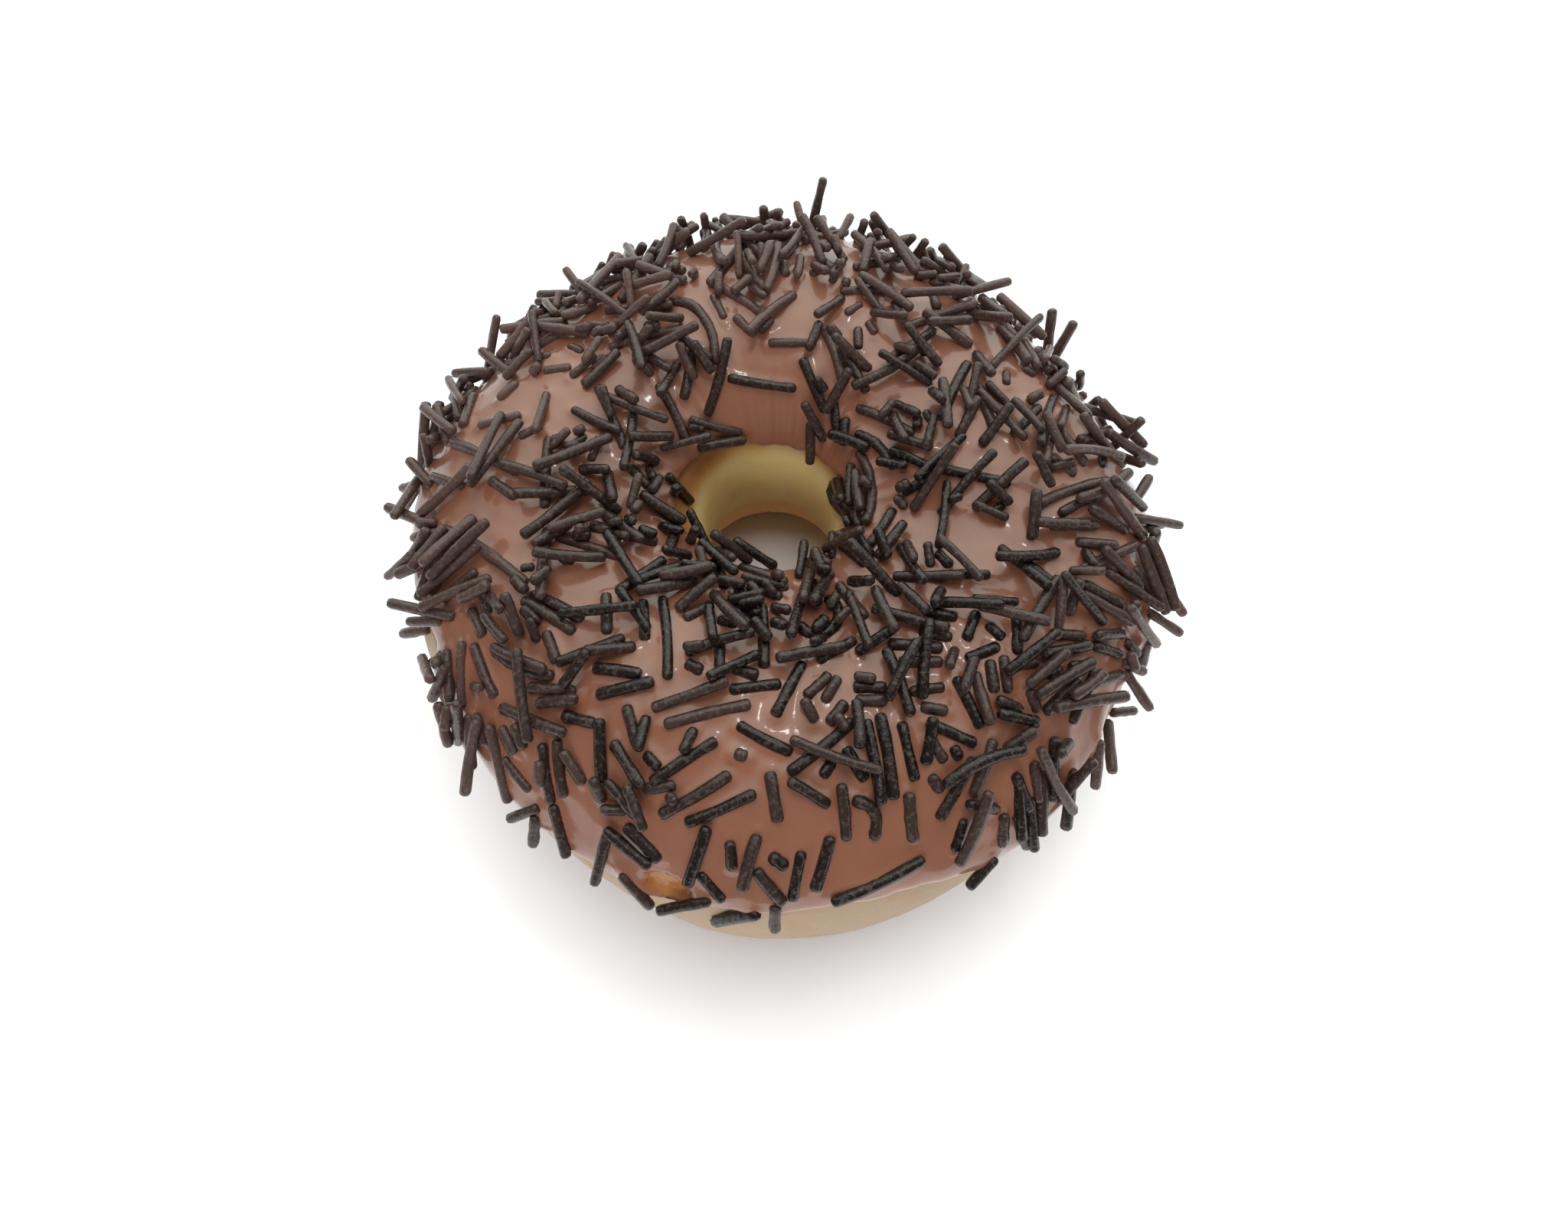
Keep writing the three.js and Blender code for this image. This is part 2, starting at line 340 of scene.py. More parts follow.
def ripple(theta, around, seed):
    """Small seeded waves round an edge of about this radius, in radians."""
    circle = np.stack([np.cos(theta) * around, np.sin(theta) * around, 0 * theta], axis=-1)
    return np.radians(EDGE_RIPPLE) * roughness_of(circle, RIPPLE_GRAIN, seed, octaves=2)


ring = np.arange(ICING_AROUND) / ICING_AROUND * 2 * math.pi
low = outer_edge(ring) + ripple(ring, WIDEST_RADIUS, seed=11)
for direction, half_width, rise in BAYS:
    low += math.radians(rise) * near(ring, direction, half_width)
high = hole_edge(ring) + ripple(ring, HOLE_EDGE_RADIUS, seed=12)
for direction, half_width, drop_by in HOLE_BAYS:
    high += math.radians(drop_by) * near(ring, direction, half_width)
even = np.linspace(0, 1, ICING_ROWS)
tight = 0.5 - 0.5 * np.cos(math.pi * even)
spread = (1 - TIGHT_SHARE) * even + TIGHT_SHARE * tight
theta = np.repeat(ring[:, None], ICING_ROWS, axis=1)
phi = low[:, None] + (high - low)[:, None] * spread
height = icing_height(theta, phi, low[:, None], high[:, None])
swell = ICING_SWELL * roughness_of(dough_point(theta, phi), ICING_SWELL_GRAIN, seed=4)
slope = np.stack([RUN_CIRCLE * np.cos(theta), RUN_CIRCLE * np.sin(theta), RUN_DROP * phi], axis=-1)
swell += RUNS * roughness_of(slope, RUN_GRAIN, seed=5, octaves=2) * fade(np.degrees(phi), *RUNS_BEGIN)
height = height * (1 + swell / ICING) - BACK_DEPTH * (1 - np.clip(height / ICING, 0, 1))
direction, section, width, tall = THIN_SPOT
window = fade(near(theta, direction, width) * near(phi, section, tall), *THIN_SPOT_BORDER)
height *= 1 - THIN_SPOT_LOSS * window
icing_normals = outward(theta, phi)
icing_top = dough_point(theta, phi) + height[..., None] * icing_normals
back_phi = high[:, None] + (low - high)[:, None] * (np.arange(1, ICING_BACK + 1) / (ICING_BACK + 1))
back_theta = np.repeat(ring[:, None], ICING_BACK, axis=1)
icing_back = dough_point(back_theta, back_phi) - MIDDLE_DEPTH * outward(back_theta, back_phi)
from_edge = (phi - low[:, None]) * SECTION_RADIUS
glaze_and_sheen = np.exp(-((from_edge / GLAZE_WIDTH) ** 2))
glaze_and_sheen *= GLAZE_ELSEWHERE + (1 - GLAZE_ELSEWHERE) * near(theta, *GLAZE_AND_SHEEN_PLACE)

# Set glossy, a little lighter where it lies thin, with a painted sheen along the lip in front; the piece
# itself is made when the sprinkles are in
coat, tree = new_material("milk_chocolate_icing")
clouds = mottle(tree, size=9, detail=3)
tone = blend(tree, clouds, srgb("#744835"), srgb("#805340"))
# Lighter towards the outer edge: partly thin icing over the dough, partly a painted sheen on the lip
thinned_and_sheen = blend(tree, stored(tree, "glaze_and_sheen"), tone, srgb("#b98e6c"))
streaks = mottle(tree, size=1.2, detail=3)
crust_under = blend(tree, streaks, srgb("#7a4418"), srgb("#b97a3c"))
dimples = bump(tree, mottle(tree, size=1.5, detail=2), strength=0.15, depth=0.2)
finish_surface(tree, {
    "Base Color": blend(tree, stored(tree, "window"), thinned_and_sheen, crust_under),
    "Roughness": 0.38, "IOR": 1.46, "Coat Weight": 0.8, "Coat Roughness": 0.1, "Coat IOR": 1.5,
    "Coat Normal": dimples, "Subsurface Weight": 0.06, "Subsurface Scale": 0.6 * MM, "Normal": dimples,
})


# Sprinkles
# Dark chocolate vermicelli: a stiff paste pushed through a die 1.3 mm wide and broken into short
# lengths with blunt ends. The iced ring was rolled in them while wet, so they lie at all angles,
# sunk into the icing or on top of each other, and a few stand up or are curled.
SPRINKLE_RADIUS = 0.63
SUNK = 0.3  # how deep one lies in the icing
FURTHEST_OUT = 47.6  # their ends stay within this of the doughnut's middle
NEAREST_HOLE = 7.9  # and outside this round the hole's
LOWEST = 6.0
HOLE_ROOM = 0.4  # where the way round is less than this share of the widest, they have to be short
# A range is the least and the most; a thickness is a share of the usual one

# The first are the longest, and lie where the CAD model has them too
FIRST_SPRINKLES = 165
SEED = 2037
LONGEST = 10.0
SHORTEST = 5.6
BY_ORDER = 0.7  # how far they get shorter one after the other
BY_CHANCE = 0.3  # and how far at random
# Places with fewer: direction and section angle, half widths of both, and the share left out
THIN_PLACES = [(-95, 22, 48, 24, 0.75), (95, 128, 28, 24, 0.92)]
EVEN_STEPS = (0.7548776662, 0.569840291)  # round and across: these spread any number evenly
FIRST_ACROSS = (0.04, 0.97)  # shares of the way over the icing
STANDING_SHARE = 0.1
STANDING_TILT = (15, 38)
MOST_ASLANT = 3
REACH = 47.4  # the same two, for the first
HOLE_CLEAR = 8.4
FIRST_THICKNESS = (0.94, 1.06)
FIRST_BEND = 0.02
FIRST_STRAIGHT = 0.6  # share of them that bend no more than that
MORE_BENT = 2.5  # times as much, for the others
FIRST_TURNS = (0, 20, -20, 40, -40)  # degrees, tried until one finds room

# The last fill the doughnut at random, once those read from the photo are in
FILL_SEED = 25
ALL_SPRINKLES = 780
MOST_TRIES = 9000
LATER_ACROSS = (0.01, 0.98)
LATER_LENGTHS = (1.5, 10.5)
MOSTLY_SHORT = 1.5  # the higher, the more of them are short
LONGEST_IN_HOLE = 6
LONGEST_STANDING = 6.5
LATER_STANDING_SHARE = 0.06
LATER_TILT = (15, 65)
LATER_THICKNESS = (0.82, 1.04)
LATER_BEND = 0.026
LATER_STRAIGHT = 0.7
LATER_TURNS = (0, 30, -30, 60, -60)
# Those of the first and the last leave these places to the ones read from the photo
EMPTY_PLACES = [
    (-90, 28, 32, 32, 1.35), (-98, 66, 40, 34, 1.0), (-50, 62, 26, 40, 0.5), (-140, 55, 26, 36, 0.4),
    (95, 132, 36, 26, 1.1), (38, 60, 24, 34, 0.2), (178, 50, 26, 40, 0.9), (-5, 50, 26, 50, 0.6),
]
# The last crowd here: the same numbers, with the share added
FULL_PLACES = [
    (90, 50, 50, 45, 0.8), (5, 80, 40, 60, 0.3), (-95, 114, 60, 20, 1.0), (148, 64, 24, 44, 0.5),
]
IN_CLUSTERS = 0.3  # share of them that lie beside another, much the same way round
BESIDE = (1.4, 2.6)  # mm from its neighbour
AHEAD = 4  # mm between the furthest behind and the furthest ahead of it
CLUSTER_TURN = math.radians(70)
CLUSTER_LENGTH = (0.6, 1.1)  # of its neighbour's

# How they come to rest
PATH_POINTS = 9
DROP_FROM = 5  # mm over a place, where a ray starts down to find the surface
DROP_REACH = 12
PRESSED = 0.06  # how deep two that touch are pressed together
END_ROOM = 0.3  # what lies just past its ends still carries one
OTHERS_WITHIN = 7  # mm of height, for those that may be under it
SHORTEST_GAP = 0.3  # between two supports, when a slope is taken from them
TALLEST_STACK = 2.4  # height of the middle of the topmost ones over the icing
STEEP_STACK = 0.4  # share of that height that is left where the icing is steep
STEEP_TO_FLAT = (0.1, 0.6)  # the upward part of the way out of it, there and where it is flat
STEEPEST = 0.7
FOOT_DEPTH = 0.2  # how deep a standing one is in the icing
STANDING_GAP = 0.8  # of its radius, to the nearest other
CURL_POINTS = 17
CURL_SMOOTHING = 3  # rounds
HEIGHT_SMOOTHING = 4
CURL_OTHERS_WITHIN = 5

# The camera that took the photo: 62 degrees above the table, close up
PHOTO_SIZE = (2048, 1600)  # pixels
PHOTO_FOCAL = 1300
PHOTO_MIDDLE = (1022, 709)  # where the camera's axis meets the picture
CAMERA_DISTANCE = 125.0
CAMERA_ELEVATION = math.radians(62)
AIM = np.array([0.0, 0.0, WIDEST_HEIGHT])
CAMERA_BACK = np.array([0.0, -math.cos(CAMERA_ELEVATION), math.sin(CAMERA_ELEVATION)])
CAMERA_RIGHT = np.array([1.0, 0.0, 0.0])
CAMERA_UP = np.cross(CAMERA_BACK, CAMERA_RIGHT)
CAMERA_PLACE = AIM + CAMERA_BACK * CAMERA_DISTANCE
LOOK_FROM = 0.7 * CAMERA_DISTANCE  # the stretch of a ray that may pass beside the doughnut
LOOK_TO = 1.4 * CAMERA_DISTANCE
DEPTH_ROOM = 3  # mm nearer or further away than its root that a tip may be
ROOTED = 0.3  # length of one that reaches out, inside the icing
LONGEST_READ = 13.0
TALLEST_READ = 4
READ_THICKNESS = (0.9, 1.02)
READ_BEND = 0.03

# Read from the photo: x and y of both ends of each sprinkle, in its pixels. In front and front left
FRONT_STICKS = [
    (1084, 1176, 1206, 1122), (930, 1200, 992, 1188), (858, 1190, 925, 1174), (815, 1141, 852, 1186),
    (914, 1138, 946, 1174), (986, 1134, 1024, 1178), (1046, 1110, 1034, 1174), (1085, 1090, 1064, 1162),
    (954, 1096, 957, 1134), (989, 1086, 969, 1154), (795, 1089, 776, 1156), (819, 1075, 864, 1122),
    (1005, 1007, 1016, 1074), (962, 948, 1034, 985), (1096, 1020, 1106, 1098), (1184, 1034, 1190, 1098),
    (1258, 1068, 1244, 1110), (1296, 1120, 1264, 1160), (1252, 1044, 1302, 1056), (896, 1076, 988, 1036),
    (864, 1066, 956, 1012), (1028, 1018, 1084, 1052), (850, 1022, 936, 966), (714, 968, 724, 1048),
    (730, 964, 740, 1040), (726, 1052, 740, 1120), (696, 776, 764, 810), (687, 787, 753, 827),
    (690, 800, 708, 818), (716, 826, 730, 867), (731, 873, 818, 834), (768, 860, 834, 846),
    (776, 873, 840, 881), (780, 909, 858, 893), (869, 784, 876, 890), (841, 787, 844, 838),
    (793, 778, 794, 830), (692, 898, 755, 903), (703, 919, 764, 914), (736, 934, 780, 946),
    (656, 924, 748, 957), (742, 977, 765, 1023), (789, 938, 787, 1022), (802, 968, 846, 1028),
    (819, 921, 835, 976), (846, 934, 838, 984), (843, 984, 862, 1004), (851, 927, 952, 895),
    (867, 947, 980, 919), (615, 936, 616, 1006), (626, 931, 638, 972), (658, 948, 676, 984),
    (678, 943, 687, 978), (594, 974, 612, 975), (664, 1070, 704, 1054), (618, 796, 634, 832),
    (676, 784, 684, 838), (908, 951, 892, 985), (1005, 1115, 1028, 1131), (702, 1066, 696, 1105),
    (786, 1008, 790, 1048), (790, 1051, 822, 1057), (798, 1015, 838, 1062), (828, 1018, 852, 1076),
    (846, 1030, 882, 1026), (876, 1033, 886, 1048),
]
# Between those and the hole, and in front to the right
MIDDLE_STICKS = [
    (940, 840, 940, 899), (892, 853, 984, 839), (995, 794, 998, 875), (957, 793, 984, 828),
    (1049, 776, 1032, 857), (1060, 762, 1069, 803), (1048, 867, 1011, 937), (952, 902, 1020, 894),
    (950, 870, 990, 886), (895, 867, 918, 878), (959, 984, 976, 989), (1030, 1012, 1116, 943),
    (1103, 977, 1130, 1020), (1131, 940, 1150, 1052), (1149, 932, 1168, 1045), (1176, 943, 1194, 1021),
    (1073, 1015, 1087, 994), (1159, 842, 1231, 848), (1173, 866, 1231, 866), (1187, 904, 1233, 898),
    (1114, 898, 1158, 900), (1116, 917, 1158, 916), (1157, 852, 1190, 940), (1067, 866, 1117, 837),
    (1117, 855, 1171, 827), (1051, 912, 1084, 882), (1047, 917, 1066, 945), (1075, 919, 1095, 888),
    (1081, 947, 1104, 918), (1199, 825, 1243, 835), (1206, 801, 1250, 808), (1201, 924, 1237, 930),
    (1213, 964, 1233, 996), (1213, 1012, 1229, 1033), (1095, 766, 1131, 811), (936, 812, 963, 818),
    (893, 811, 931, 791), (985, 773, 1021, 784), (1005, 795, 1030, 810), (1005, 820, 1023, 835),
    (1271, 989, 1224, 1070), (1297, 965, 1269, 1039), (1288, 816, 1310, 836), (1260, 862, 1304, 845),
    (1275, 800, 1261, 838), (1247, 847, 1234, 881), (1247, 885, 1280, 952), (1271, 878, 1289, 950),
    (1291, 863, 1297, 906), (1309, 857, 1315, 906), (1295, 915, 1332, 928), (1295, 932, 1349, 944),
    (1343, 950, 1308, 980), (1208, 943, 1273, 972), (1243, 974, 1252, 992), (1308, 1060, 1306, 1103),
    (1324, 1060, 1334, 1100), (1322, 1008, 1340, 1056), (1347, 993, 1352, 1045), (1326, 804, 1328, 856),
    (1321, 872, 1354, 865), (1364, 884, 1384, 874), (1385, 872, 1420, 868), (1424, 892, 1462, 880),
    (1423, 843, 1460, 855),
]
# This one hangs over the edge of the icing
HANGING_STICK = (1013, 1182, 1012, 1216)
# Behind the hole
FAR_STICKS = [
    (950, 446, 925, 546), (950, 495, 1039, 509), (1047, 469, 1078, 539), (908, 448, 893, 523),
    (1060, 554, 1058, 607), (897, 549, 967, 567), (1003, 449, 1066, 449), (959, 415, 986, 440),
    (991, 440, 1008, 418), (1079, 431, 1103, 500), (1090, 523, 1097, 578), (1107, 546, 1106, 584),
    (859, 502, 897, 578), (1122, 532, 1196, 567), (1163, 575, 1221, 587), (1166, 591, 1214, 610),
    (864, 622, 902, 658), (1100, 456, 1133, 514),
]
# To the right and left, from the back to the front; some reach out beyond the doughnut
RIGHT_STICKS = [
    (1469, 576, 1493, 547), (1470, 594, 1494, 606), (1478, 657, 1502, 622), (1496, 692, 1519, 684),
    (1494, 730, 1547, 804), (1480, 744, 1526, 799), (1498, 800, 1543, 828), (1444, 748, 1520, 796),
    (1406, 776, 1474, 814), (1410, 764, 1464, 792), (1367, 829, 1414, 831), (1419, 831, 1464, 828),
    (1352, 857, 1417, 845), (1468, 879, 1503, 927), (1459, 934, 1483, 928), (1342, 900, 1353, 930),
    (1361, 931, 1406, 888), (1417, 872, 1396, 946), (1447, 944, 1453, 1010), (1436, 970, 1430, 1030),
    (1398, 1006, 1392, 1084), (1406, 978, 1376, 1048), (1369, 960, 1369, 1044), (1358, 1010, 1361, 1092),
    (1343, 1044, 1351, 1112), (1327, 1014, 1335, 1100), (1406, 746, 1480, 714), (1347, 659, 1442, 630),
    (1379, 672, 1439, 645), (1367, 596, 1403, 623), (1356, 622, 1372, 558), (1321, 572, 1356, 534),
    (1380, 560, 1416, 611), (1403, 580, 1442, 567), (1335, 610, 1372, 647), (1347, 650, 1347, 708),
    (1368, 689, 1431, 689), (1402, 709, 1452, 717), (1407, 673, 1470, 695), (1332, 732, 1387, 773),
    (1500, 838, 1490, 872), (1465, 866, 1495, 878),
]
LEFT_STICKS = [
    (587, 578, 569, 528), (566, 634, 533, 600), (540, 632, 524, 638), (540, 632, 528, 664),
    (572, 697, 538, 703), (567, 727, 526, 741), (565, 738, 545, 784), (585, 743, 565, 780),
    (626, 746, 581, 786), (594, 806, 506, 787), (577, 812, 532, 812), (561, 822, 524, 828),
    (586, 852, 587, 918), (607, 837, 606, 924), (620, 842, 649, 912), (652, 850, 722, 880),
    (577, 892, 592, 936), (631, 766, 640, 804), (641, 806, 671, 844), (643, 776, 677, 814),
    (610, 637, 571, 626), (641, 628, 677, 652), (611, 446, 606, 500), (612, 500, 578, 540),
]
# Along the far edge, most of them against the background
BACK_STICKS = [
    (1061, 284, 1076, 232), (1052, 282, 1040, 264), (884, 318, 905, 291), (920, 330, 923, 302),
    (940, 312, 938, 292), (1000, 300, 997, 270), (1020, 300, 1014, 274), (1100, 292, 1112, 281),
    (1122, 306, 1130, 288), (1180, 312, 1194, 308), (1198, 324, 1210, 314), (1042, 314, 1086, 314),
]
# Curled ones, along their length: a loop and two arcs by the hole, one behind it, two curls in
# front of it, and three long bent ones to the left
CURLED = [
    [(1112, 685), (1090, 657), (1082, 637), (1093, 625), (1104, 627), (1115, 654), (1125, 689)],
    [(1123, 591), (1135, 610), (1141, 634), (1135, 686)],
    [(1120, 567), (1144, 578), (1158, 594), (1170, 613)],
    [(874, 395), (905, 398), (925, 424), (934, 447), (934, 478)],
    [(1112, 1044), (1134, 1050), (1145, 1068), (1140, 1096)],
    [(1042, 818), (1056, 832), (1076, 833), (1092, 820), (1098, 802), (1090, 788), (1078, 784)],
    [(648, 850), (672, 868), (698, 880), (726, 884)],
    [(580, 692), (620, 710), (655, 735), (690, 764)],
    [(592, 580), (616, 588), (644, 602), (681, 620)],
]


def draws(seed):
    """The same numbers every time, from 0 to 1."""
    state = seed
    while True:
        state = (state * 1664525 + 1013904223) % 2**32
        yield state / 2**32


def vary(span, share):
    """The value at a share of the way from the least to the most."""
    least, most = span
    return least + (most - least) * share


def cover(theta, phi, fewer, more=()):
    """How thickly a place is covered, from 0 to 1."""
    share = 1.0
    for direction, section, width, height, less in fewer:
        share *= max(0, 1 - less * near(theta, direction, width) * near(phi, section, height))
    most = 1.0
    for direction, section, width, height, extra in more:
        share *= 1 + extra * near(theta, direction, width) * near(phi, section, height)
        most = max(most, 1 + extra)
    return share / most


def frame_at(theta, phi, heading):
    """A place on the icing, the way up from it, and the two ways along it for a heading."""
    up = outward(theta, phi)
    ahead = along_ring(theta, phi)
    ahead = ahead / np.linalg.norm(ahead)
    across = np.cross(up, ahead)
    along = ahead * math.cos(heading) + across * math.sin(heading)
    height = icing_height(theta, phi, outer_edge(theta), hole_edge(theta))
    return dough_point(theta, phi) + height * up, up, along, np.cross(up, along)


def too_far(points, reach=FURTHEST_OUT, clear=NEAREST_HOLE):
    beyond = np.hypot(points[:, 0], points[:, 1]) > reach
    inside = np.hypot(points[:, 0] - HOLE_PLACE[0], points[:, 1] - HOLE_PLACE[1]) < clear
    return bool(np.any(beyond | inside | (points[:, 2] < LOWEST)))


def lengths_along(path):
    """How far along a path each of its points is."""
    return np.concatenate([[0], np.cumsum(np.linalg.norm(np.diff(path, axis=0), axis=1))])


def points_at(path, at):
    """The points at these distances along a path."""
    length = lengths_along(path)
    return np.stack([np.interp(at, length, path[:, k]) for k in range(3)], axis=1)


EVERY = 3  # a third of the rows is enough to lay sprinkles on
coarse_icing, coarse_dough = icing_top[::EVERY, ::EVERY], points[::EVERY, ::EVERY]
surface = [Vector(p) for p in np.vstack([coarse_icing.reshape(-1, 3), coarse_dough.reshape(-1, 3)])]
icing_squares = squares(*coarse_icing.shape[:2], closed=False)
dough_squares = squares(*coarse_dough.shape[:2]) + coarse_icing[..., 0].size
body_tree = BVHTree.FromPolygons(surface, icing_squares.tolist() + dough_squares.tolist())

laid = []  # one path of points for each sprinkle, in mm
laid_radius = []
beads = np.zeros((0, 4))  # balls along every sprinkle so far: x, y, z, radius
BEAD_SPACING = 0.5
FEWEST_BEADS = 3


def remember(path, radius):
    """Keeps a sprinkle, and the balls along it that later ones come to rest on."""
    global beads
    laid.append(path)
    laid_radius.append(radius)
    length = lengths_along(path)[-1]
    balls = points_at(path, np.linspace(0, length, max(FEWEST_BEADS, int(length / BEAD_SPACING))))
    beads = np.vstack([beads, np.column_stack([balls, np.full(len(balls), radius)])])


def drop(start, up):
    """The first surface below a point somewhat up from start, as a height over start."""
    hit = body_tree.ray_cast(Vector(start + up * DROP_FROM), Vector(-up), DROP_REACH)[0]
    return None if hit is None else float((np.array(hit) - start) @ up)


def lie_down(spot, length, radius, bend, tallest=TALLEST_STACK):
    """Where a sprinkle comes to rest on the icing and on those already there, or None."""
    place, up, along, side = spot
    half = length / 2
    supports = []
    for s in np.linspace(-half, half, PATH_POINTS):
        floor_height = drop(place + along * s + side * (bend * s * s), up)
        if floor_height is not None:
            supports.append((s, floor_height + radius - SUNK))
    away = beads[:, :3] - place
    s, h = away @ along, away @ up
    d = away @ side - bend * s * s
    reach = radius + beads[:, 3] - PRESSED
    close = (np.abs(s) < half + END_ROOM) & (np.abs(d) < reach) & (np.abs(h) < OTHERS_WITHIN)
    top = h[close] + np.sqrt(reach[close] ** 2 - d[close] ** 2)
    supports += list(zip(np.clip(s[close], -half, half), top))
    supports = np.array(supports).reshape(-1, 2)
    before, after = supports[supports[:, 0] <= 0], supports[supports[:, 0] >= 0]
    if len(before) == 0 or len(after) == 0:
        return None
    tiny = 1e-9
    gap = after[None, :, 0] - before[:, None, 0] + tiny
    share = -before[:, None, 0] / gap
    middle = before[:, None, 1] * (1 - share) + after[None, :, 1] * share
    b, a = np.unravel_index(np.argmax(middle), middle.shape)
    rise = middle[b, a]
    slope = (after[a, 1] - before[b, 1]) / max(gap[b, a], SHORTEST_GAP)
    most = tallest * (STEEP_STACK + (1 - STEEP_STACK) * fade(up[2], *STEEP_TO_FLAT))
    if rise > most or abs(slope) > STEEPEST:
        return None
    s = np.linspace(-half, half, PATH_POINTS) / math.sqrt(1 + slope * slope)
    path = place + np.outer(s, along) + np.outer(bend * s * s, side) + np.outer(rise + slope * s, up)
    return None if too_far(path[[0, -1]]) else path


def lie_curled(way, up, radius):
    """A curled sprinkle laid along points near the surface, over what is there already."""
    way = points_at(way, np.linspace(0, lengths_along(way)[-1], CURL_POINTS))
    for _ in range(CURL_SMOOTHING):
        way[1:-1] = (way[:-2] + 2 * way[1:-1] + way[2:]) / 4
    heights = []
    for place in way:
        floor_height = drop(place, up) or 0
        away = beads[:, :3] - place
        h = away @ up
        d = np.linalg.norm(away - np.outer(h, up), axis=1)
        reach = radius + beads[:, 3]
        close = (d < reach) & (np.abs(h) < CURL_OTHERS_WITHIN)
        over = h[close] + np.sqrt(reach[close] ** 2 - d[close] ** 2)
        heights.append(max([floor_height + radius - SUNK, *over]))
    for _ in range(HEIGHT_SMOOTHING):
        smooth = np.convolve(np.pad(heights, 1, mode="edge"), [0.25, 0.5, 0.25], mode="valid")
        heights = np.maximum(heights, smooth)
    return way + np.outer(heights, up)


def stand_up(spot, length, radius, tilt):
    """A sprinkle with one end in the icing, or None where others are in its way."""
    place, up, along, _ = spot
    axis = along * math.cos(tilt) + up * math.sin(tilt)
    s = np.linspace(-radius, length - radius, PATH_POINTS)
    path = place + np.outer(s, axis) + up * (radius * math.cos(tilt) - FOOT_DEPTH)
    if too_far(path[[0, -1]]):
        return None
    gaps = np.linalg.norm(path[:, None] - beads[None, :, :3], axis=2) - beads[None, :, 3]
    return None if gaps.min() < STANDING_GAP * radius else path


def settle(theta, phi, heading, length, radius, bend, tilt, turns):
    """Lays a sprinkle down, or stands it up if it has a tilt. Its heading then, or None for no room."""
    for turn in turns:
        way = heading + math.radians(turn)
        spot = frame_at(theta, phi, way)
        if tilt is None:
            path = lie_down(spot, length, radius, bend)
        else:
            path = stand_up(spot, length, radius, tilt)
        if path is not None:
            remember(path, radius)
            return way
    return None


def ray_through(pixel):
    """The way from the camera through a pixel of the photo."""
    x, y = (pixel[0] - PHOTO_MIDDLE[0]) / PHOTO_FOCAL, (pixel[1] - PHOTO_MIDDLE[1]) / PHOTO_FOCAL
    ray = CAMERA_RIGHT * x - CAMERA_UP * y - CAMERA_BACK
    return ray / np.linalg.norm(ray)


def through_photo(pixel):
    """The place that the photo shows at a pixel, and whether it is on the doughnut or just beside."""
    ray = ray_through(pixel)
    hit = body_tree.ray_cast(Vector(CAMERA_PLACE), Vector(ray))[0]
    if hit is not None:
        return np.array(hit), True
    along_ray = [CAMERA_PLACE + ray * t for t in np.arange(LOOK_FROM, LOOK_TO)]
    return min(along_ray, key=lambda p: body_tree.find_nearest(Vector(p))[3]), False


def reach_out(root, tip_pixel, radius):
    """A straight sprinkle that leaves the icing along its slope, and ends where the photo shows it."""
    place, up, _, _ = body_tree.find_nearest(Vector(root))
    up = np.array(up)
    start = np.array(place) + up * (radius - SUNK)
    ray = ray_through(tip_pixel)
    near_depth = np.linalg.norm(start - CAMERA_PLACE)
    depth = (start - CAMERA_PLACE) @ up / (ray @ up)
    tip = CAMERA_PLACE + ray * np.clip(depth, near_depth - DEPTH_ROOM, near_depth + DEPTH_ROOM)
    length = np.linalg.norm(tip - start)
    s = np.linspace(-ROOTED, min(length, LONGEST_READ), PATH_POINTS)
    return start + np.outer(s, (tip - start) / length)


def across_icing(theta, span, share):
    """The section angle at a share of the way over the icing, within a span of it."""
    edge = outer_edge(theta)
    return edge + (hole_edge(theta) - edge) * vary(span, share)


def way_out(theta, phi):
    """How far a place is from the middle of the doughnut."""
    return math.hypot(*dough_point(theta, phi)[:2])


draw = draws(SEED)
first = []
k = 0
while len(first) < FIRST_SPRINKLES:
    k += 1
    around, across = ((0.5 + k * step) % 1 for step in EVEN_STEPS)
    theta = around * 2 * math.pi - math.pi
    keep, grow, heading, lean, stand = (next(draw) for _ in range(5))
    phi = across_icing(theta, FIRST_ACROSS, across)
    room = way_out(theta, phi) / WIDEST_RADIUS
    if keep > room * cover(theta, phi, THIN_PLACES):
        continue
    shorter = BY_ORDER * len(first) / FIRST_SPRINKLES + BY_CHANCE * grow
    length = LONGEST - (LONGEST - SHORTEST) * shorter
    if room < HOLE_ROOM:
        length = SHORTEST
    standing = stand < STANDING_SHARE
    tilt = math.radians(vary(STANDING_TILT if standing else (0, MOST_ASLANT), lean))
    heading *= 2 * math.pi
    place, up, along, _ = frame_at(theta, phi, heading)
    axis = along * math.cos(tilt) + up * math.sin(tilt)
    middle = place + (axis * (length / 2 - SPRINKLE_RADIUS) if standing else 0)
    if too_far(np.array([middle + axis * length / 2, middle - axis * length / 2]), REACH, HOLE_CLEAR):
        continue
    first.append((theta, phi, heading, length, tilt if standing else None))

for pixels in CURLED:
    way = np.array([through_photo(pixel)[0] for pixel in pixels])
    normal = body_tree.find_nearest(Vector(way.mean(axis=0)))[1]
    remember(lie_curled(way, np.array(normal), SPRINKLE_RADIUS), SPRINKLE_RADIUS)

